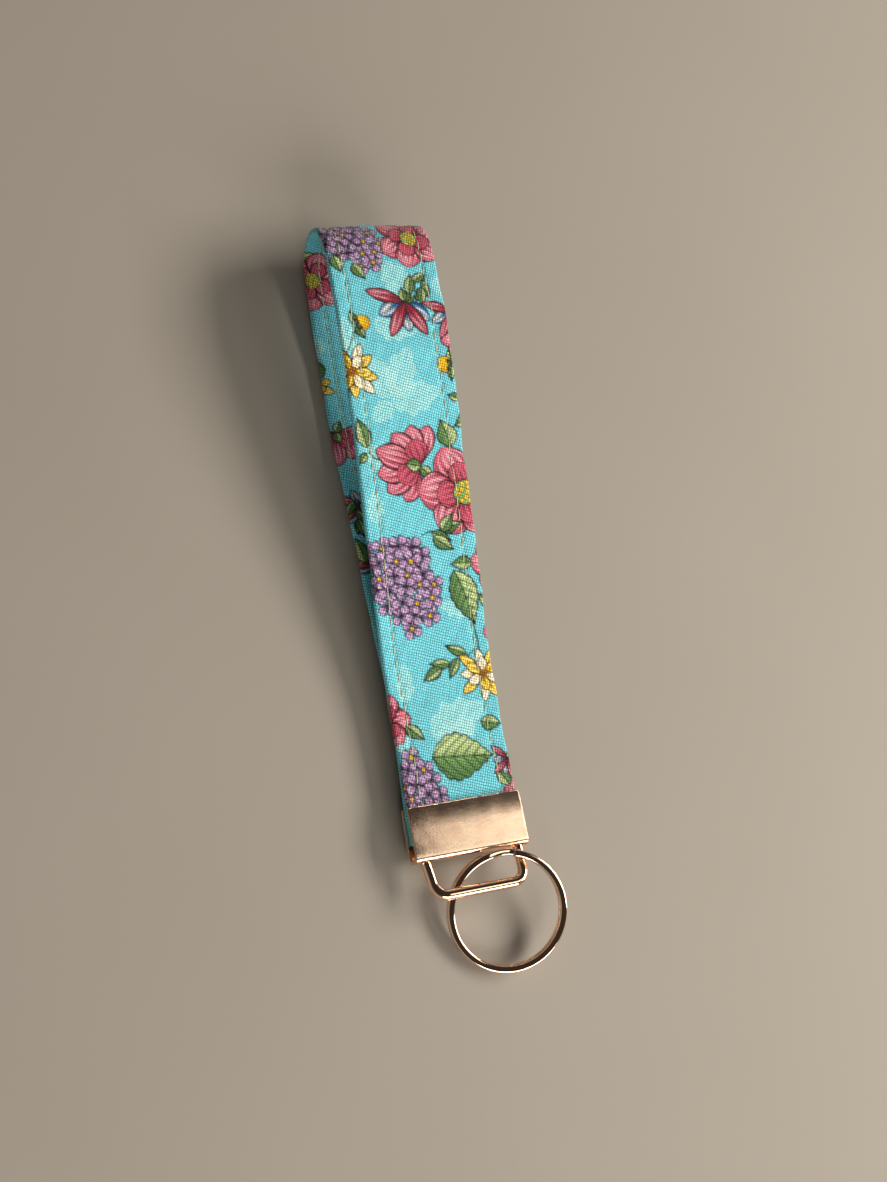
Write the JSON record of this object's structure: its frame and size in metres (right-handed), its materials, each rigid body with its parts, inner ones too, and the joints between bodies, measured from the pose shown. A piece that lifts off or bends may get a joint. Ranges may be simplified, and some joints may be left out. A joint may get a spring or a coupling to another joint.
{
  "type": "wristlet key fob",
  "caption": "Printed cotton wrist strap folded into a loop, held by a folded metal end clamp with a hinged wire bail and a split ring.",
  "frame": {"origin": "centre of the end clamp's flat back face", "axes": "+X across the strap, +Y along the strap from the ring to the loop's far end, +Z out of the clamp's back face towards its front"},
  "size_m": [0.031, 0.1635, 0.0188],
  "materials": {
    "strap_fabric": "printed plain-weave cotton, floral on turquoise",
    "strap_interfacing": "white non-woven interfacing",
    "thread": "pale sewing thread",
    "clamp_metal": "satin rose-gold plating on steel",
    "bail_metal": "polished rose-gold plating on steel",
    "ring_metal": "polished rose-gold plating on steel"
  },
  "bodies": {
    "strap_and_clamp": {"strap_fabric": "strap_fabric", "strap_interfacing": "strap_interfacing", "needle_thread_left": "thread", "needle_thread_right": "thread", "bobbin_thread_left": "thread", "bobbin_thread_right": "thread", "end_clamp": "clamp_metal"},
    "bail": {"wire_bail": "bail_metal"},
    "ring": {"split_ring": "ring_metal"}
  },
  "joints": [
    {"name": "bail_swing", "type": "hinge", "parent": "strap_and_clamp", "child": "bail", "pos_m": [0.0003, -0.00445, 0.00245], "axis": [1, 0, 0], "range_deg": [-11, 37]},
    {"name": "ring_swing", "type": "hinge", "parent": "bail", "child": "ring", "pos_m": [0.0003, -0.01361, 0.00456], "axis": [1, 0, 0], "range_deg": [0, 110]}
  ]
}
